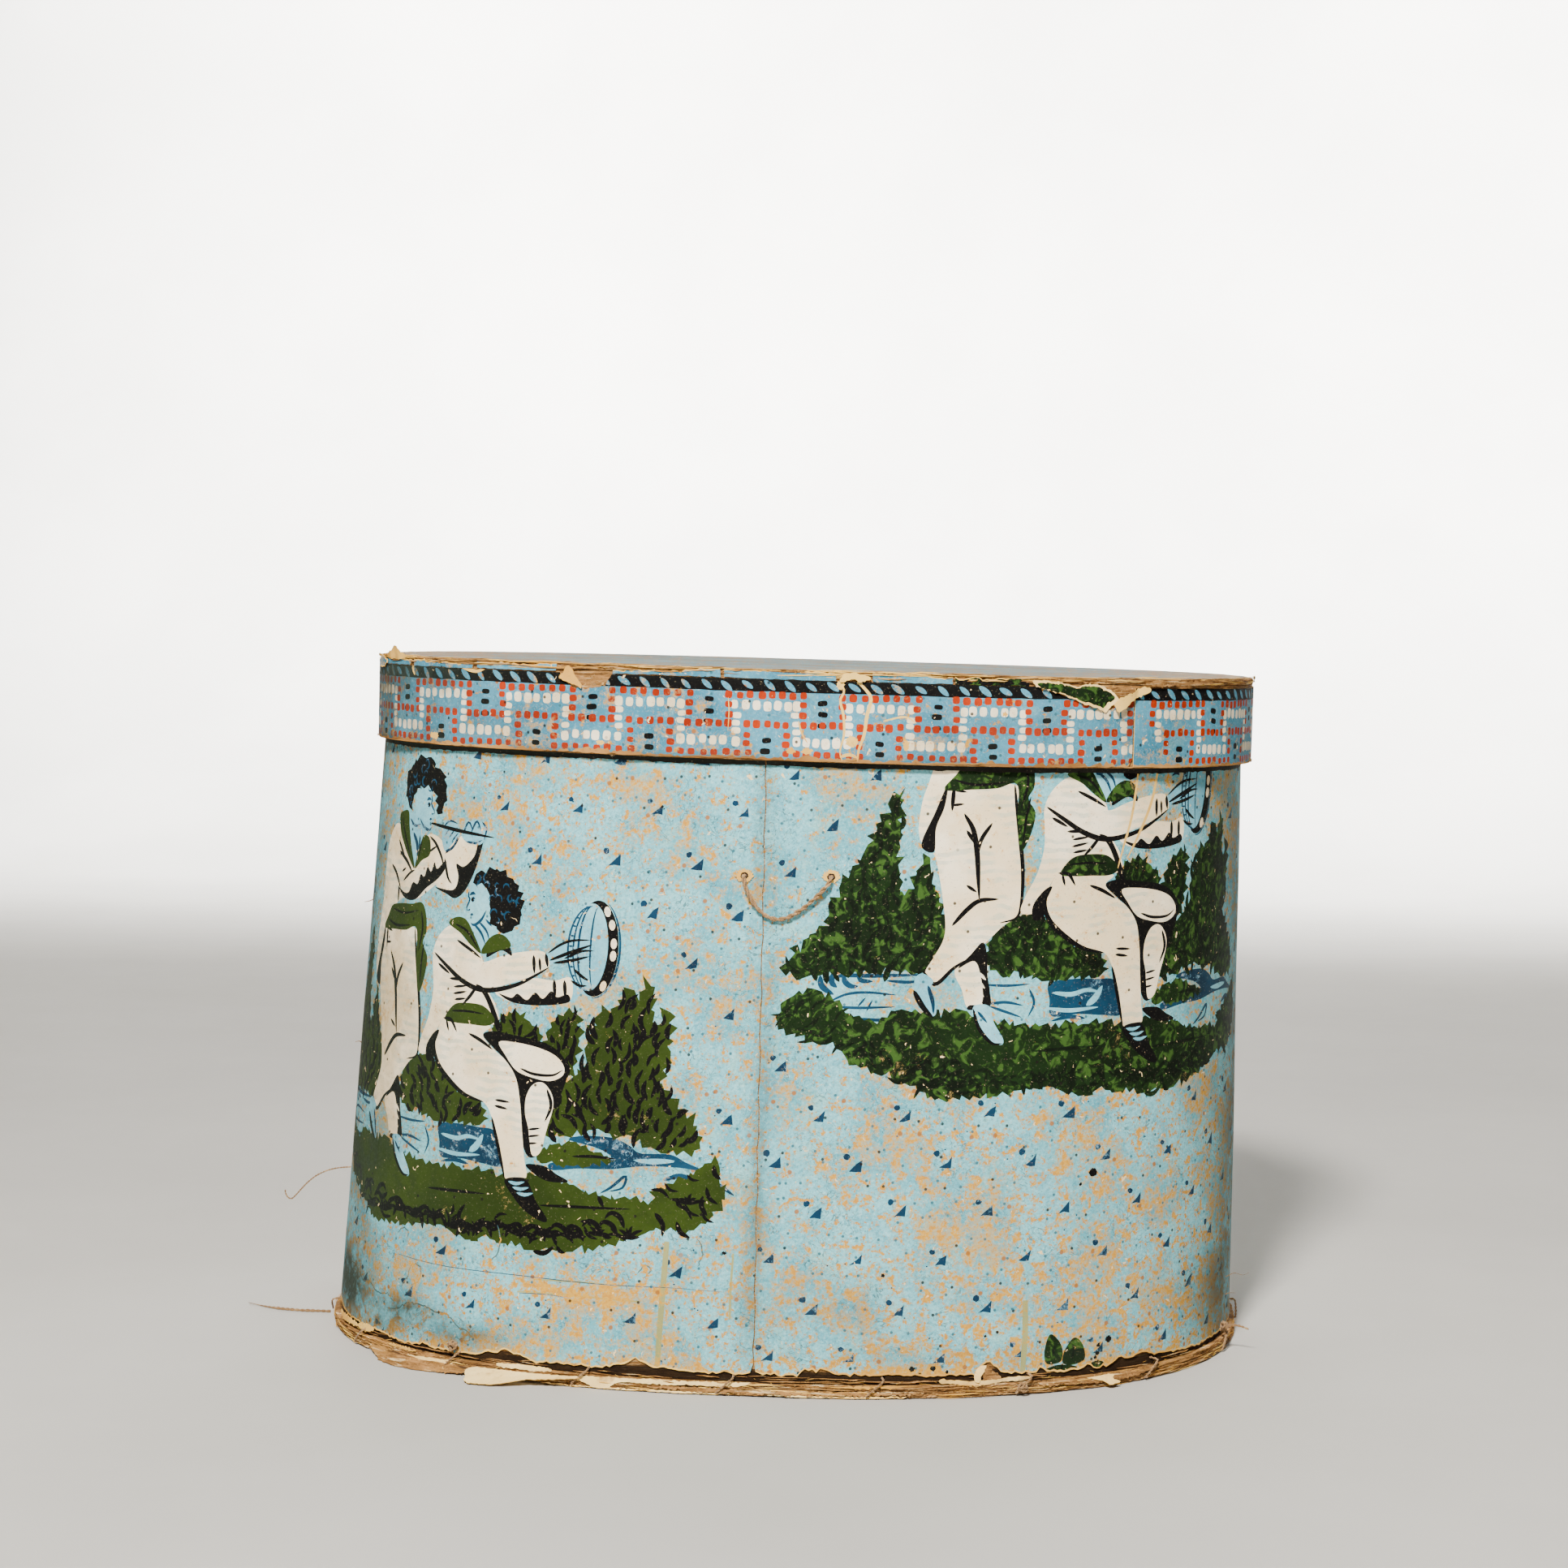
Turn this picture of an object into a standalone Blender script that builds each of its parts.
"""Oval pasteboard hat box with a lift-off lid.

Metres, +Z up. The origin is on the table under the middle of the box, +X is the long axis
and -Y is the front. The wall leans towards +X and draws in a little towards the top. The lid
is tilted with it, its left end higher.
"""

import bisect
import math

import bmesh
import bpy
from mathutils import Matrix, Vector

# ---- driving dimensions -------------------------------------------------------------------
OVAL_POWER = 2.38            # 2 would be an ellipse; more is flatter along the sides
FOOT_HALF = (0.2083, 0.1586)  # outer face of the wall board, at table level
RIM_HALF = (0.1982, 0.1516)  # the same at RIM_LEVEL
RIM_LEVEL = 0.266            # height where the lid's lower edge comes
LEAN = 0.046                 # sideways shift of the wall for each metre of height
FOOT_X = -0.002              # centre of the foot along X
BASE_HALF = (0.2107, 0.1610)  # outline of the base boards
LID_HALF = (0.2020, 0.1554)  # outer face of the lid's rim board
LID_LOW = 0.268              # centre of the lid's lower edge
LID_SHIFT = 0.0008           # the lid sits this far off the wall's centre line
LID_TILT = math.radians(1.35)
RIM_HEIGHT = 0.0352

# ---- sheet thicknesses ---------------------------------------------------------------------
GAP = 0.0003
PAPER = 0.0003
WALL_BOARD = 0.0024
BASE_PLY = 0.0023
RIM_BOARD = 0.0015
LID_BOARD = 0.0022
BOTTOM_INSET = 0.0025        # the bottom paper stops short of the base boards' edge
BASE_LINING_INSET = 0.016    # from the wall board's outer face to the base lining's edge

# ---- the wall's laps, by arc length from the middle of the front --------------------------
LEFT_LAP = -0.250
RIGHT_LAP = 0.335
LAP_HALF = 0.020
LAP_STEP = WALL_BOARD + GAP
LAP_MARGIN = 0.002           # the back board is all the way in before the front board ends
LAP_RAMP = 0.012             # length over which a sheet steps inwards
LINING_MARGIN = 0.016
FRONT_SEAM = 0.005           # where the two sheets of wallpaper meet on the front
BACK_SEAM = 0.600            # and at the back
BORDER_SEAM = 0.161          # where the border paper's ends meet on the lid
SEAM_GAP = 0.0005
EDGE_PAPER_FRONT = (-0.128, -0.012)     # what is left of the paper round the base's edge
EDGE_PAPER_BACK = (0.40, 0.86)

# ---- twine ----------------------------------------------------------------------------------
TWINE = 0.0011               # sewing twine, diameter
LOOP_TWINE = 0.0021          # twine of the front loop, diameter
STITCHES = 19
STITCH_PHASE = -0.004        # arc length of the first stitch
LEFT_END_STITCH = -4         # the front twine runs between these two stitches
RIGHT_END_STITCH = 4
STITCH_SLANT = 0.0030
STITCH_HEIGHT = 0.0085       # height of the holes in the wall
STITCH_INSIDE = -0.0042      # the twine's place inside, from the board's outer face
STITCH_OUTSIDE = 0.0041
STITCH_UNDER = 0.00135       # height of its run in the groove under the base
STITCH_CORNER = 0.0009       # how far a stitch cuts its corners
INSIDE_RUN_RISE = 0.0015     # the twine inside starts this far above the base
INSIDE_RUN_STEPS = 6
HOLE = 0.0018                # needle holes and grooves, side
BORE = 0.9 * HOLE            # side of the holes through the base boards and the laps
GROOVE_REACH = 0.016         # length of each groove under the base
LINING_CLEARANCE = 0.004     # the wall's lining starts this far above the needle holes
SEAM_TWINE = 0.0009          # diameter of the twine in the laps
SEAM_GROOVE = 0.0013         # depth of the groove it lies in
SEAM_HOLES = 6
SEAM_LOW = 0.071
SEAM_PITCH = 0.031
SEAM_BORE_LENGTH = 0.004
LOOP_HOLES = (-0.008, 0.030)  # arc lengths of the two holes of the front loop
LOOP_LEVEL = 0.2195
LOOP_HOLE = 0.0036           # diameter
LOOP_AXIS_OUT = 0.0026       # the loop bends here, this far out from the board's face
LOOP_CLEARANCE = 0.0013      # room for its round end to turn in
LOOP_KNOT = 0.003            # radius of the knots inside
SEAM_TAIL = 0.0008           # diameter of the loose end at the left lap
BASE_TAIL = 0.0015           # diameter of the loose end on the table
# outlines of the two outer knots: distance outwards and radius
RIGHT_KNOT = [
    (-0.0014, 0.0),
    (-0.0013, 0.0011),
    (0.0, 0.0022),
    (0.0014, 0.0013),
    (0.0025, 0.0007),
    (0.0095, 0.0006),
    (0.0095, 0.0),
]
LEFT_KNOT = [(-0.0016, 0.0), (-0.0012, 0.0016), (0.0003, 0.0024), (0.0015, 0.0014), (0.0019, 0.0)]
RIGHT_KNOT_RISE = 0.0024     # clear height of each knot's middle above the sewing
LEFT_KNOT_RISE = 0.0032
LEFT_KNOT_STITCH = -2        # the left knot sits at this stitch

STATIONS = 96                # facets round each oval sheet
FINE_STEP = 0.004            # spacing of the stations at the laps
LEAST_STEP = 0.0012          # stations closer than this are merged
TABLE_STEPS = 1440

# ---- heights of the base's layers ----------------------------------------------------------
BOTTOM_PAPER_LOW = 0.0
LOWER_PLY_LOW = PAPER + GAP
UPPER_PLY_LOW = LOWER_PLY_LOW + BASE_PLY + GAP
BASE_TOP = UPPER_PLY_LOW + BASE_PLY
WALL_LOW = BASE_TOP + GAP

# ---- heights in the lid, above its lower edge ------------------------------------------------
LID_ROOF = RIM_HEIGHT - PAPER           # underside of the lid's lining
WALL_TOP = LID_ROOF - GAP
LID_TOP = RIM_HEIGHT + GAP + LID_BOARD + GAP + PAPER
TURN_DOWN_LOW = LID_TOP - 0.0056        # the top paper is turned down to here
LID_LINING_LOW = 0.0005


# ---- the oval ------------------------------------------------------------------------------
def oval_point(angle, half):
    """The point of the oval at this polar angle, and its outward normal."""
    c, s = math.cos(angle), math.sin(angle)
    reach = (abs(c / half[0]) ** OVAL_POWER + abs(s / half[1]) ** OVAL_POWER) ** (-1 / OVAL_POWER)
    point = Vector((reach * c, reach * s))
    slope = [
        math.copysign(abs(v / h) ** (OVAL_POWER - 1) / h, v) for v, h in zip(point, half)
    ]
    return point, Vector(slope).normalized()


def arc_table():
    """Polar angles from the middle of the front, and the arc length to each, at the foot."""
    angles = [2 * math.pi * i / TABLE_STEPS - math.pi / 2 for i in range(TABLE_STEPS + 1)]
    points = [oval_point(a, FOOT_HALF)[0] for a in angles]
    lengths = [0.0]
    for p, q in zip(points, points[1:]):
        lengths.append(lengths[-1] + (q - p).length)
    return angles, lengths


ANGLES, LENGTHS = arc_table()
ROUND = LENGTHS[-1]


def angle_at(along):
    """The polar angle at an arc length from the middle of the front, positive to the right."""
    along %= ROUND
    i = min(max(bisect.bisect_right(LENGTHS, along) - 1, 0), TABLE_STEPS - 1)
    part = (along - LENGTHS[i]) / (LENGTHS[i + 1] - LENGTHS[i])
    return ANGLES[i] + part * (ANGLES[i + 1] - ANGLES[i])


def wall_point(along, level, out):
    """A point at `level` above the table, `out` from the wall board's outer face."""
    share = level / RIM_LEVEL
    half = [f + (r - f) * share for f, r in zip(FOOT_HALF, RIM_HALF)]
    point, normal = oval_point(angle_at(along), half)
    flat = point + normal * out
    return Vector((FOOT_X + LEAN * level + flat.x, flat.y, level))


def wall_normal(along):
    normal = oval_point(angle_at(along), FOOT_HALF)[1]
    return Vector((normal.x, normal.y, 0))


def lid_frame():
    centre = FOOT_X + LEAN * LID_LOW + LID_SHIFT
    return Matrix.Translation((centre, 0, LID_LOW)) @ Matrix.Rotation(LID_TILT, 4, "Y")


LID_FRAME = lid_frame()


def wall_top_level(along, out):
    """Where the wall meets the underside of the lid, which is tilted."""
    level = LID_LOW + WALL_TOP
    axis = LID_FRAME.to_3x3() @ Vector((0, 0, 1))
    anchor = LID_FRAME @ Vector((0, 0, WALL_TOP))
    for _ in range(4):
        point = wall_point(along, level, out)
        level -= axis.dot(point - anchor) / axis.z
    return level


def ramp(value):
    value = min(max(value, 0.0), 1.0)
    return value * value * (3 - 2 * value)


def past(along, lap, side):
    """How far `along` lies beyond the middle of a lap, on the side away from the front."""
    away = (along - lap + ROUND / 2) % ROUND - ROUND / 2
    return away * side


def board_inset(along):
    """How far the back board stands inwards of the front board's surface."""
    most = 0.0
    for lap, side in ((LEFT_LAP, -1), (RIGHT_LAP, 1)):
        beyond = past(along, lap, side)
        if beyond > -2 * LAP_HALF:
            most = max(most, ramp((LAP_HALF + LAP_MARGIN + LAP_RAMP - beyond) / LAP_RAMP))
    return LAP_STEP * most


def lining_inset(along):
    """How far the lining and the twine inside step inwards at the laps."""
    most = 0.0
    for lap in (LEFT_LAP, RIGHT_LAP):
        away = abs(past(along, lap, 1))
        most = max(most, ramp((LAP_HALF + LINING_MARGIN + LAP_RAMP - away) / LAP_RAMP))
    return LAP_STEP * most


def stations(start, end, stepped=False):
    """Arc lengths from start to end: even steps, and finer ones at the laps if `stepped`."""
    found = {start, end}
    step = ROUND / STATIONS
    found.update(i * step for i in range(-2 * STATIONS, 2 * STATIONS))
    reach = LAP_HALF + LINING_MARGIN + LAP_RAMP
    for lap in (LEFT_LAP, RIGHT_LAP, LEFT_LAP + ROUND) if stepped else ():
        for i in range(int(2 * reach / FINE_STEP) + 1):
            found.add(lap - reach + i * FINE_STEP)
    inside = sorted(s for s in found if start <= s <= end)
    kept = [inside[0]]
    for value in inside[1:]:
        if value - kept[-1] > LEAST_STEP:
            kept.append(value)
    kept[-1] = end
    return kept


# ---- building ------------------------------------------------------------------------------
def clear():
    for obj in list(bpy.data.objects):
        bpy.data.objects.remove(obj)


def collection(name):
    made = bpy.data.collections.new(name)
    bpy.context.scene.collection.children.link(made)
    return made


def material(name, colour, roughness):
    made = bpy.data.materials.new(name)
    made.use_nodes = True
    shader = made.node_tree.nodes["Principled BSDF"]
    shader.inputs["Base Color"].default_value = (*colour, 1)
    shader.inputs["Roughness"].default_value = roughness
    shader.inputs["Metallic"].default_value = 0.0
    return made


def place(name, data, mat, parent=None):
    obj = bpy.data.objects.new(name, data)
    PARTS.objects.link(obj)
    data.materials.append(mat)
    if parent is not None:
        obj.parent = parent
    return obj


def solidify(obj, thickness):
    """Thickens an open sheet inwards from its outer face."""
    shell = obj.modifiers.new("thickness", "SOLIDIFY")
    shell.thickness = thickness
    shell.offset = -1
    shell.use_even_offset = True


def cut(obj, cutter):
    hole = obj.modifiers.new("cut", "BOOLEAN")
    hole.object = cutter
    hole.operation = "DIFFERENCE"
    hole.solver = "EXACT"


def sheet_mesh(name, rows, closed):
    """A grid of faces between rows of points; `closed` joins each row's ends."""
    mesh = bmesh.new()
    grid = [[mesh.verts.new(p) for p in row] for row in rows]
    columns = len(rows[0])
    for low, high in zip(grid, grid[1:]):
        for i in range(columns if closed else columns - 1):
            j = (i + 1) % columns
            mesh.faces.new((low[i], low[j], high[j], high[i]))
    data = bpy.data.meshes.new(name)
    mesh.to_mesh(data)
    mesh.free()
    data.shade_smooth()
    data.set_sharp_from_angle(angle=math.radians(40))
    return data


def wall_sheet(name, span, outer, thickness, mat, low=WALL_LOW, closed=False, stepped=False):
    """A sheet that follows the wall from `low` to the lid; `outer(s)` places its outer face."""
    places = stations(*span, stepped)
    if closed:
        places = places[:-1]
    rows = [
        [wall_point(s, low, outer(s)) for s in places],
        [wall_point(s, wall_top_level(s, outer(s)), outer(s)) for s in places],
    ]
    obj = place(name, sheet_mesh(name, rows, closed), mat)
    solidify(obj, thickness)
    return obj


def oval_outline(half, centre_x):
    angles = [2 * math.pi * i / STATIONS for i in range(STATIONS)]
    points = [oval_point(a, half)[0] for a in angles]
    return [Vector((centre_x + p.x, p.y, 0)) for p in points]


def flat_oval(name, half, centre_x, low, thickness, mat, parent=None):
    """A flat oval board: a filled 2D curve with an extrude, turned into a mesh."""
    curve = bpy.data.curves.new(name, "CURVE")
    curve.dimensions = "2D"
    curve.fill_mode = "BOTH"
    curve.extrude = thickness / 2
    spline = curve.splines.new("POLY")
    outline = oval_outline(half, centre_x)
    spline.points.add(len(outline) - 1)
    for point, spot in zip(spline.points, outline):
        point.co = (*spot, 1)
    spline.use_cyclic_u = True
    obj = place(name, as_mesh(curve, name), mat, parent)
    obj.location.z = low + thickness / 2
    return obj


def as_mesh(curve, name):
    """The mesh that a curve makes, with its caps joined to its sides."""
    carrier = bpy.data.objects.new("carrier", curve)
    bpy.context.scene.collection.objects.link(carrier)
    graph = bpy.context.evaluated_depsgraph_get()
    data = bpy.data.meshes.new_from_object(carrier.evaluated_get(graph))
    data.name = name
    bpy.data.objects.remove(carrier)
    mesh = bmesh.new()
    mesh.from_mesh(data)
    bmesh.ops.remove_doubles(mesh, verts=mesh.verts, dist=1e-6)
    mesh.to_mesh(data)
    mesh.free()
    return data


def twine(name, points, diameter, mat, resolution=1):
    """A length of twine along a list of points."""
    curve = bpy.data.curves.new(name, "CURVE")
    curve.dimensions = "3D"
    curve.bevel_depth = diameter / 2
    curve.bevel_resolution = resolution
    curve.use_fill_caps = True
    spline = curve.splines.new("POLY")
    spline.points.add(len(points) - 1)
    for point, spot in zip(spline.points, points):
        point.co = (*spot, 1)
    return place(name, curve, mat)


def smooth_path(points, spacing):
    """Points at an even spacing along a smooth curve through a route's own points."""
    dense = []
    ends = [2 * points[0] - points[1], *points, 2 * points[-1] - points[-2]]
    for a, b, c, d in zip(ends, ends[1:], ends[2:], ends[3:]):
        for i in range(16):
            t = i / 16
            dense.append(
                0.5
                * (
                    2 * b
                    + (c - a) * t
                    + (2 * a - 5 * b + 4 * c - d) * t * t
                    + (3 * b - a - 3 * c + d) * t * t * t
                )
            )
    dense.append(points[-1])
    total = sum((q - p).length for p, q in zip(dense, dense[1:]))
    count = max(round(total / spacing), 2)
    even, walked, want = [dense[0]], 0.0, total / count
    for p, q in zip(dense, dense[1:]):
        step = (q - p).length
        while walked + step >= want * len(even) and len(even) < count:
            even.append(p.lerp(q, (want * len(even) - walked) / step))
        walked += step
    even.append(dense[-1])
    return even


def boxes(name, frames, size):
    """One cutter of separate boxes, each `size` and centred on its frame."""
    mesh = bmesh.new()
    for frame in frames:
        bmesh.ops.create_cube(mesh, size=1, matrix=frame @ Matrix.Diagonal((*size, 1)))
    data = bpy.data.meshes.new(name)
    mesh.to_mesh(data)
    mesh.free()
    obj = bpy.data.objects.new(name, data)
    CUTTERS.objects.link(obj)
    obj.hide_render = True
    obj.display_type = "WIRE"
    return obj


def facing(along, level, out):
    """A frame on the wall whose X points outwards and whose Z points up."""
    outward = wall_normal(along)
    across = Vector((0, 0, 1)).cross(outward)
    turn = Matrix((outward, across, Vector((0, 0, 1)))).transposed().to_4x4()
    return Matrix.Translation(wall_point(along, level, out)) @ turn


# ---- the box -------------------------------------------------------------------------------
def stitch_place(number):
    return STITCH_PHASE + number * ROUND / STITCHES


def base_point(along, level, out):
    """A point of the base's sewing: the wall's plan at the foot, at any height."""
    spot = wall_point(along, 0.0, out)
    return Vector((spot.x, spot.y, level))


def stitch_inside(along):
    return STITCH_INSIDE - lining_inset(along)


def make_cutters():
    """Needle holes for the base sewing, and the groove of each stitch under the base."""
    upper = [stitch_place(k) + STITCH_SLANT for k in range(STITCHES)]
    lower = [stitch_place(k) - STITCH_SLANT for k in range(STITCHES)]
    holes = boxes("wall_holes", [facing(s, STITCH_HEIGHT, 0) for s in upper], (0.02, HOLE, HOLE))
    bores = boxes("base_holes", [facing(s, 0, stitch_inside(s)) for s in lower], (BORE, BORE, 0.03))
    grooves = boxes(
        "base_grooves",
        [facing(s, 0, stitch_inside(s) + GROOVE_REACH / 2 - HOLE) for s in lower],
        (GROOVE_REACH, HOLE, 2 * (STITCH_UNDER + HOLE / 2)),
    )
    return holes, bores, grooves


def make_base(bores, grooves):
    inset = [h - BOTTOM_INSET for h in BASE_HALF]
    flat_oval("base_bottom_paper", inset, FOOT_X, BOTTOM_PAPER_LOW, PAPER, PLAIN)
    lower = flat_oval("base_board_lower", BASE_HALF, FOOT_X, LOWER_PLY_LOW, BASE_PLY, BOARD)
    cut(lower, grooves)
    cut(lower, bores)
    upper = flat_oval("base_board_upper", BASE_HALF, FOOT_X, UPPER_PLY_LOW, BASE_PLY, BOARD)
    cut(upper, bores)
    lining_half = [h - BASE_LINING_INSET for h in FOOT_HALF]
    flat_oval("base_lining", lining_half, FOOT_X, BASE_TOP + GAP, PAPER, PLAIN)


def edge_paper(name, start, end):
    """What is left of the paper that covered the edge of the base boards."""
    low, high = LOWER_PLY_LOW + HOLE, BASE_TOP
    out = BASE_HALF[0] - FOOT_HALF[0] + GAP + PAPER
    places = stations(start, end)
    rows = [[base_point(s, z, out) for s in places] for z in (low, high)]
    obj = place(name, sheet_mesh(name, rows, False), PLAIN)
    solidify(obj, PAPER)


def make_wall(holes):
    front_span = (LEFT_LAP - LAP_HALF, RIGHT_LAP + LAP_HALF)
    front = wall_sheet("wall_board_front", front_span, lambda s: 0.0, WALL_BOARD, BOARD)
    back = wall_sheet(
        "wall_board_back",
        (RIGHT_LAP - LAP_HALF, ROUND + LEFT_LAP + LAP_HALF),
        lambda s: -board_inset(s),
        WALL_BOARD,
        BOARD,
        stepped=True,
    )
    left_span = (BACK_SEAM - ROUND + SEAM_GAP, FRONT_SEAM - SEAM_GAP)
    right_span = (FRONT_SEAM, BACK_SEAM)
    left = wall_sheet("cover_paper_left", left_span, lambda s: GAP + PAPER, PAPER, WALLPAPER)
    right = wall_sheet("cover_paper_right", right_span, lambda s: GAP + PAPER, PAPER, WALLPAPER)
    for sheet in (front, back, left, right):
        cut(sheet, holes)
    wall_sheet(
        "wall_lining",
        (0.0, ROUND),
        lambda s: -WALL_BOARD - GAP - lining_inset(s),
        PAPER,
        PLAIN,
        low=STITCH_HEIGHT + LINING_CLEARANCE,
        closed=True,
        stepped=True,
    )
    return front, back, left, right


def stitch_path(number):
    """One whipped stitch: out through the wall, over the base's edge, under it and up."""
    upper = stitch_place(number) + STITCH_SLANT
    lower = stitch_place(number) - STITCH_SLANT
    corner = STITCH_CORNER
    inner, deep = stitch_inside(upper), stitch_inside(lower)
    over = STITCH_HEIGHT
    return [
        wall_point(upper, over, inner + corner),
        wall_point(upper, over, STITCH_OUTSIDE - 3 * corner),
        base_point(upper, over - corner, STITCH_OUTSIDE),
        base_point(lower, STITCH_UNDER + corner, STITCH_OUTSIDE),
        base_point(lower, STITCH_UNDER, STITCH_OUTSIDE - corner),
        base_point(lower, STITCH_UNDER, deep + corner / 2),
        base_point(lower, STITCH_UNDER + corner / 2, deep),
        base_point(lower, BASE_TOP + corner, deep),
    ]


def inside_run(number, following):
    """The twine between two stitches, along the corner inside the box."""
    start = stitch_place(number) - STITCH_SLANT
    end = stitch_place(following) + STITCH_SLANT
    low = BASE_TOP + INSIDE_RUN_RISE
    run = []
    for i in range(1, INSIDE_RUN_STEPS):
        share = i / INSIDE_RUN_STEPS
        s = start + (end - start) * share
        run.append(base_point(s, low + (STITCH_HEIGHT - low) * share, stitch_inside(s)))
    return run


def make_base_stitching():
    """The front twine ends outside at both ends; the back one ends inside."""
    front = []
    numbers = list(range(RIGHT_END_STITCH, LEFT_END_STITCH - 1, -1))
    for k in numbers:
        path = stitch_path(k)
        if k == numbers[0]:
            path = path[2:]
        if k == numbers[-1]:
            path = path[:4]
        front += path
        if k != numbers[-1]:
            front += inside_run(k, k - 1)
    twine("base_stitching_front", front, TWINE, TWINE_MATERIAL)
    back = []
    numbers = list(range(LEFT_END_STITCH - 1, RIGHT_END_STITCH - STITCHES, -1))
    for k in numbers:
        back += stitch_path(k)
        if k != numbers[-1]:
            back += inside_run(k, k - 1)
    twine("base_stitching_back", back, TWINE, TWINE_MATERIAL)
    return front


def seam_frame(along, level, out):
    """A frame on the wall whose Z runs up the wall's own slope and whose X points outwards."""
    rise = (wall_point(along, RIM_LEVEL, 0) - wall_point(along, 0, 0)).normalized()
    across = rise.cross(wall_normal(along)).normalized()
    turn = Matrix((across.cross(rise), across, rise)).transposed().to_4x4()
    return Matrix.Translation(wall_point(along, level, out)) @ turn


def seam_stitching(name, lap, boards):
    """A running stitch through both boards of a lap, sunk in a groove on either face."""
    levels = [SEAM_LOW + i * SEAM_PITCH for i in range(SEAM_HOLES)]
    middle = (levels[0] + levels[-1]) / 2
    tall = levels[-1] - levels[0] + HOLE
    inner_face = -WALL_BOARD - LAP_STEP
    grooves = boxes(
        name + "_grooves",
        [seam_frame(lap, middle, face) for face in (0, inner_face)],
        (2 * SEAM_GROOVE, HOLE, tall),
    )
    through = boxes(
        name + "_holes",
        [seam_frame(lap, level, inner_face / 2) for level in levels],
        (SEAM_BORE_LENGTH, BORE, BORE),
    )
    for board in boards:
        cut(board, grooves)
        cut(board, through)
    outer, inner = -SEAM_GROOVE / 2, inner_face + SEAM_GROOVE / 2
    path = [wall_point(lap, levels[0], outer)]
    for i, level in enumerate(levels[1:]):
        sides = (inner, outer) if i % 2 else (outer, inner)
        path += [wall_point(lap, level, side) for side in sides]
    twine(name, path, SEAM_TWINE, TWINE_MATERIAL)


def turned(name, profile, frame, mat):
    """A solid turned about the X axis of `frame`; the profile is (along, radius) pairs."""
    data = bpy.data.meshes.new(name)
    spots = [(x, 0, r) for x, r in profile]
    data.from_pydata(spots, [(i, i + 1) for i in range(len(spots) - 1)], [])
    obj = place(name, data, mat)
    obj.matrix_world = frame
    screw = obj.modifiers.new("turn", "SCREW")
    screw.axis = "X"
    screw.steps = screw.render_steps = 12
    screw.use_merge_vertices = True
    screw.merge_threshold = 0.00001
    screw.use_smooth_shade = True
    screw.use_normal_calculate = True
    return obj


def knot_profile(stub, radius, bulb):
    """A straight stub of twine that ends in a round knot."""
    points = [(0.0, 0.0), (0.0, radius)]
    points.append((stub, radius))
    for i in range(1, 6):
        turn = math.pi * i / 6
        points.append((stub + bulb * (1 - math.cos(turn)), max(bulb * math.sin(turn), radius)))
    points.append((stub + 2 * bulb, 0.0))
    return points


def make_loop(holed):
    """The twine loop on the front, its holes, and the knots that stop it inside."""
    radius = LOOP_TWINE / 2
    names = ("loop_knot_left", "loop_knot_right")
    inward = Matrix.Rotation(math.pi, 4, "Z")
    start = LOOP_AXIS_OUT - LOOP_CLEARANCE
    bore = bpy.data.meshes.new("loop_holes")
    mesh = bmesh.new()
    for along in LOOP_HOLES:
        frame = facing(along, LOOP_LEVEL, 0) @ Matrix.Rotation(math.pi / 2, 4, "Y")
        bmesh.ops.create_cone(
            mesh,
            cap_ends=True,
            segments=12,
            radius1=LOOP_HOLE / 2,
            radius2=LOOP_HOLE / 2,
            depth=0.02,
            matrix=frame,
        )
    mesh.to_mesh(bore)
    mesh.free()
    cutter = bpy.data.objects.new("loop_holes", bore)
    CUTTERS.objects.link(cutter)
    cutter.hide_render = True
    cutter.display_type = "WIRE"
    for sheet in holed:
        cut(sheet, cutter)
    for name, along in zip(names, LOOP_HOLES):
        stub = start + WALL_BOARD + GAP + PAPER + GAP
        frame = facing(along, LOOP_LEVEL, start) @ inward
        turned(name, knot_profile(stub, radius, LOOP_KNOT), frame, TWINE_MATERIAL)
    twine("front_loop", smooth_path(loop_route(), 2.2 * LOOP_TWINE), LOOP_TWINE, TWINE_MATERIAL, 2)


def loop_route():
    """The loop's route: arc length, height and distance from the board's outer face, in mm."""
    route = [
        (-8.0, 219.5, 2.6),
        (-7.8, 218.0, 3.3),
        (-6.8, 215.0, 3.7),
        (-4.2, 210.0, 3.1),
        (-0.4, 205.2, 2.6),
        (4.2, 202.2, 2.4),
        (9.0, 201.6, 2.4),
        (14.0, 203.3, 2.4),
        (19.4, 207.0, 2.7),
        (24.6, 211.8, 3.2),
        (28.6, 216.2, 3.7),
        (29.8, 218.2, 3.3),
        (30.0, 219.5, 2.6),
    ]
    return [wall_point(s / 1000, z / 1000, out / 1000) for s, z, out in route]


def seam_tail_route():
    """The stiff end of the left lap's twine: mm out from the wall, forwards and up."""
    route = [
        (0.9, 0.0, 0.0),
        (5.0, 0.2, -0.1),
        (9.0, 0.4, -0.6),
        (13.0, 0.8, -1.7),
        (17.0, 1.2, -3.6),
        (20.5, 1.5, -6.2),
        (23.5, 1.7, -9.2),
        (26.4, 1.8, -12.4),
        (28.2, 1.9, -13.9),
        (29.8, 2.0, -13.4),
        (30.9, 2.1, -11.6),
        (31.2, 2.1, -9.8),
    ]
    frame = facing(LEFT_LAP, SEAM_LOW, 0)
    return [frame @ Vector((x / 1000, y / 1000, z / 1000)) for x, y, z in route]


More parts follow.
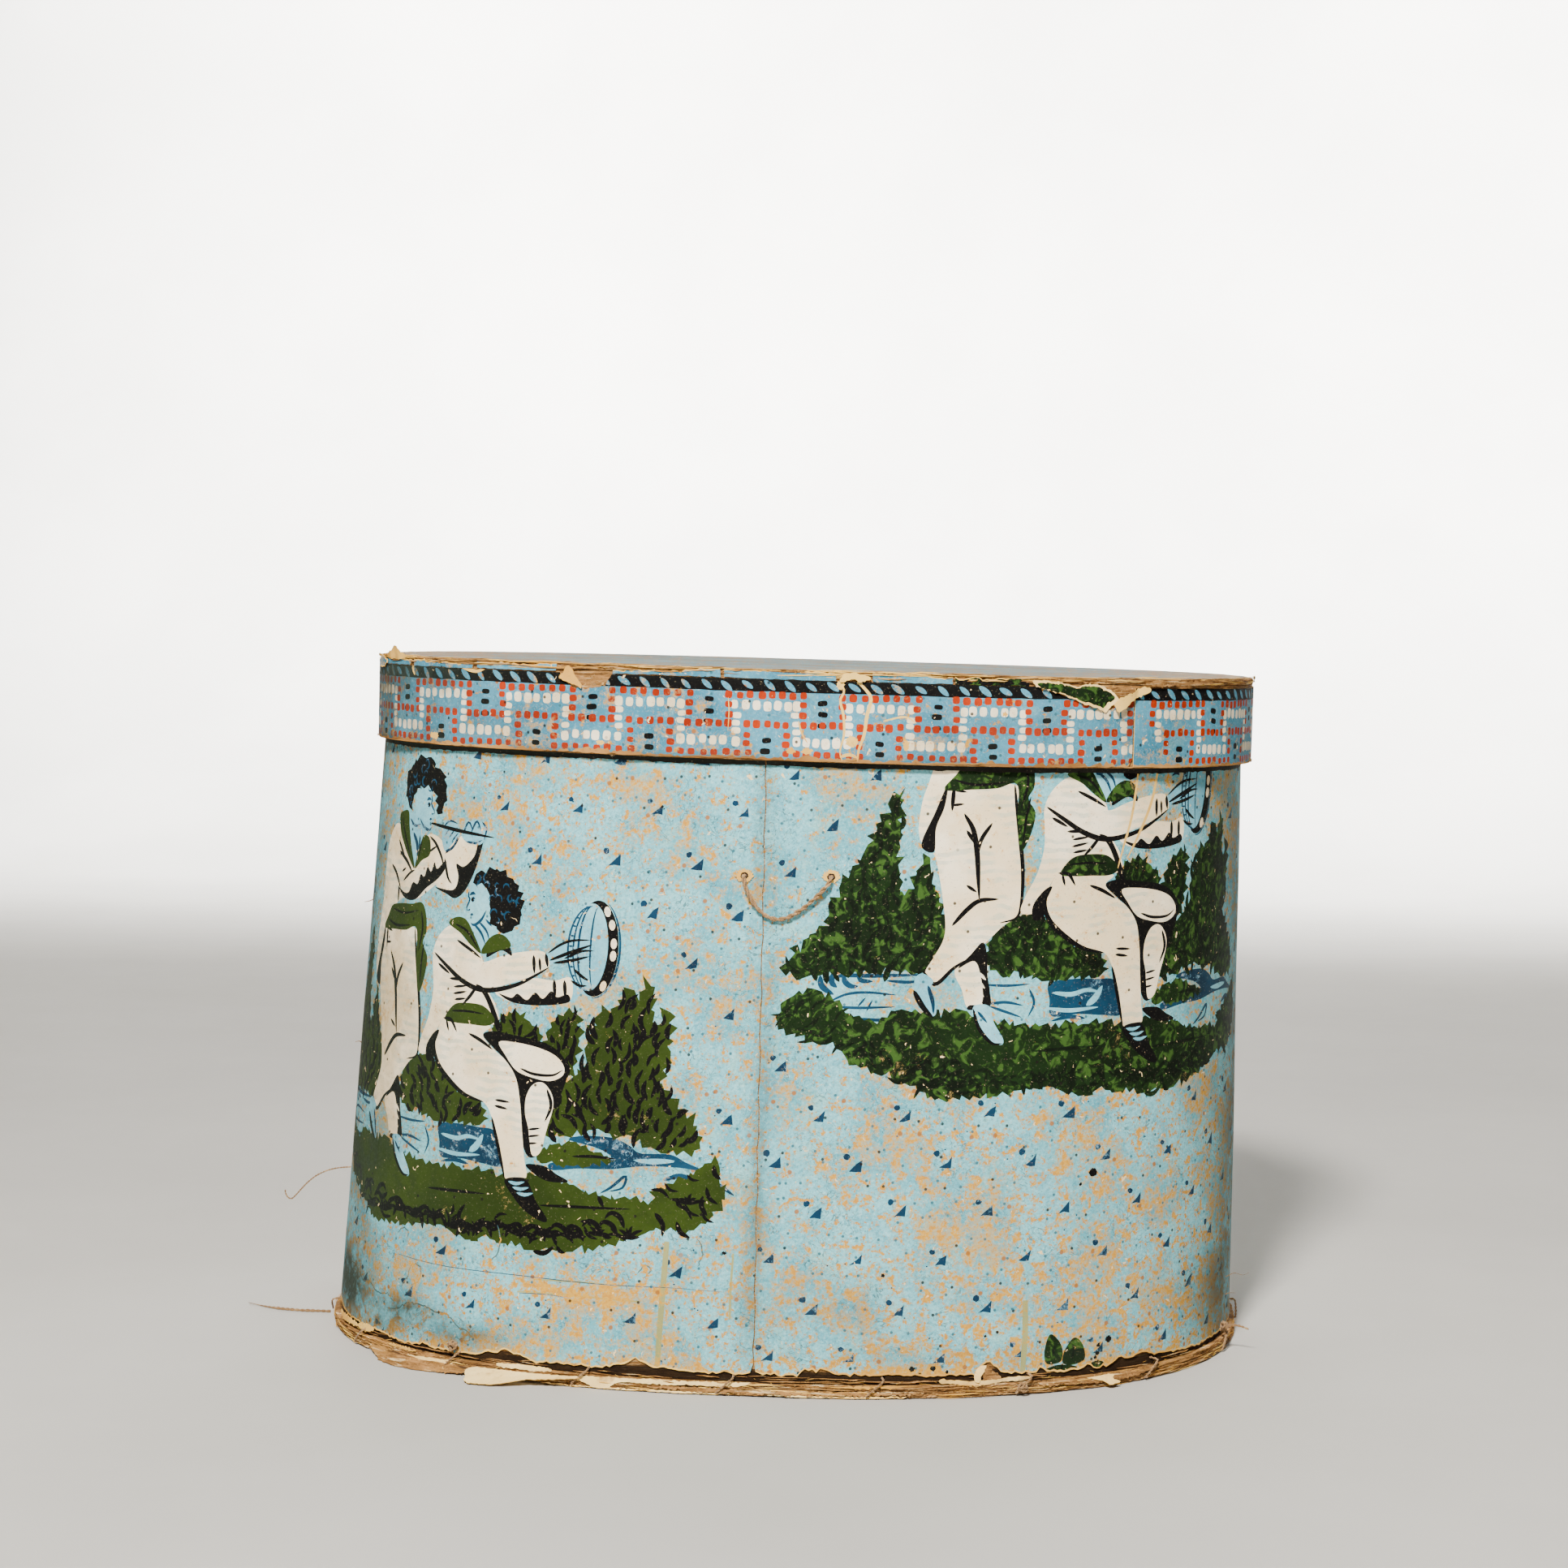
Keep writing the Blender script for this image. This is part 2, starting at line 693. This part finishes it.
def base_tail_route(start):
    """The end of the front twine, which lies on the table: mm to the left and backwards."""
    height = BASE_TAIL / 2
    route = [
        (-1.2, 0.1),
        (-5.0, 0.3),
        (-10.0, 0.2),
        (-15.0, 0.2),
        (-20.0, 0.9),
        (-25.0, 1.9),
        (-30.0, 3.4),
        (-35.0, 5.6),
        (-40.0, 8.4),
        (-45.0, 11.8),
    ]
    return [Vector((start.x + x / 1000, start.y + y / 1000, height)) for x, y in route]


def make_knots(front_path):
    """The two knots of the front twine that sit outside the wall."""
    first = front_path[0]
    outward = wall_normal(stitch_place(RIGHT_END_STITCH))
    turn = Vector((1, 0, 0)).rotation_difference(outward).to_matrix().to_4x4()
    lift = Vector((0, 0, TWINE / 2 + GAP + RIGHT_KNOT_RISE))
    frame = Matrix.Translation(first + lift - 0.001 * outward) @ turn
    turned("base_knot_right", RIGHT_KNOT, frame, TWINE_MATERIAL)
    out = GAP + PAPER + GAP - LEFT_KNOT[0][0]
    spot = facing(stitch_place(LEFT_KNOT_STITCH), STITCH_HEIGHT + LEFT_KNOT_RISE, out)
    turned("base_knot_left", LEFT_KNOT, spot, TWINE_MATERIAL)


def make_tails(front_path):
    twine("seam_tail", smooth_path(seam_tail_route(), 3 * SEAM_TAIL), SEAM_TAIL, TWINE_MATERIAL, 2)
    route = smooth_path(base_tail_route(front_path[-1]), 2.5 * BASE_TAIL)
    twine("base_tail", route, BASE_TAIL, TWINE_MATERIAL, 2)


# ---- the lid, in its own tilted frame ------------------------------------------------------
def lid_ring(name, outer, thickness, low, high, mat, parent, start=0.0, end=None):
    """A band round the lid. `outer(s)` places its outer face from the rim board's."""
    closed = end is None
    places = stations(start, ROUND if closed else end)
    if closed:
        places = places[:-1]
    rows = []
    for level in (low, high):
        row = []
        for s in places:
            point, normal = oval_point(angle_at(s), LID_HALF)
            flat = point + normal * outer(s)
            row.append(Vector((flat.x, flat.y, level)))
        rows.append(row)
    obj = place(name, sheet_mesh(name, rows, closed), mat, parent)
    solidify(obj, thickness)
    return obj


def top_paper(parent):
    """The lid's top paper: flat, and turned down over the rim."""
    out = GAP + PAPER
    angles = [2 * math.pi * i / STATIONS for i in range(STATIONS)]
    mesh = bmesh.new()
    rings = []
    for level in (TURN_DOWN_LOW, LID_TOP):
        ring = []
        for a in angles:
            point, normal = oval_point(a, LID_HALF)
            flat = point + normal * out
            ring.append(mesh.verts.new((flat.x, flat.y, level)))
        rings.append(ring)
    for i in range(STATIONS):
        j = (i + 1) % STATIONS
        mesh.faces.new((rings[0][i], rings[0][j], rings[1][j], rings[1][i]))
    mesh.faces.new(rings[1])
    data = bpy.data.meshes.new("lid_top_paper")
    mesh.to_mesh(data)
    mesh.free()
    obj = place("lid_top_paper", data, WALLPAPER, parent)
    solidify(obj, PAPER)


def make_lid():
    lid = bpy.data.objects.new("lid_frame", None)
    PARTS.objects.link(lid)
    lid.matrix_world = LID_FRAME
    joint = ROUND / 2
    rim = (joint - ROUND + SEAM_GAP, joint)
    lid_ring("lid_rim_board", lambda s: 0.0, RIM_BOARD, 0, RIM_HEIGHT, BOARD, lid, *rim)
    flat_oval("lid_top_board", LID_HALF, 0, RIM_HEIGHT + GAP, LID_BOARD, BOARD, lid)
    top_paper(lid)
    border = (BORDER_SEAM - ROUND + SEAM_GAP, BORDER_SEAM)
    lid_ring(
        "lid_border_paper",
        lambda s: GAP + PAPER,
        PAPER,
        0,
        TURN_DOWN_LOW - GAP,
        BORDER,
        lid,
        *border,
    )
    inner = RIM_BOARD + GAP
    low, high = LID_LINING_LOW, LID_ROOF - GAP
    lid_ring("lid_rim_lining", lambda s: -inner, PAPER, low, high, PLAIN, lid)
    lining_half = [h - inner for h in LID_HALF]
    flat_oval("lid_top_lining", lining_half, 0, LID_ROOF, PAPER, PLAIN, lid)


# ---- the whole box ---------------------------------------------------------------------------
clear()
PARTS = collection("hat_box")
CUTTERS = collection("cutters")
BOARD = material("board", (0.36, 0.22, 0.11), 0.9)
WALLPAPER = material("wallpaper", (0.36, 0.56, 0.66), 0.8)
BORDER = material("border", (0.22, 0.40, 0.52), 0.8)
PLAIN = material("plain_paper", (0.78, 0.66, 0.46), 0.85)
TWINE_MATERIAL = material("twine", (0.36, 0.23, 0.11), 0.9)

wall_holes, base_holes, base_grooves = make_cutters()
make_base(base_holes, base_grooves)
edge_paper("base_edge_paper_front", *EDGE_PAPER_FRONT)
edge_paper("base_edge_paper_back", *EDGE_PAPER_BACK)
front_board, back_board, left_paper, right_paper = make_wall(wall_holes)
front_twine = make_base_stitching()
seam_stitching("left_seam_stitching", LEFT_LAP, (front_board, back_board))
seam_stitching("right_seam_stitching", RIGHT_LAP, (front_board, back_board))
lining = PARTS.objects["wall_lining"]
make_loop((front_board, left_paper, right_paper, lining))
make_knots(front_twine)
make_tails(front_twine)
make_lid()
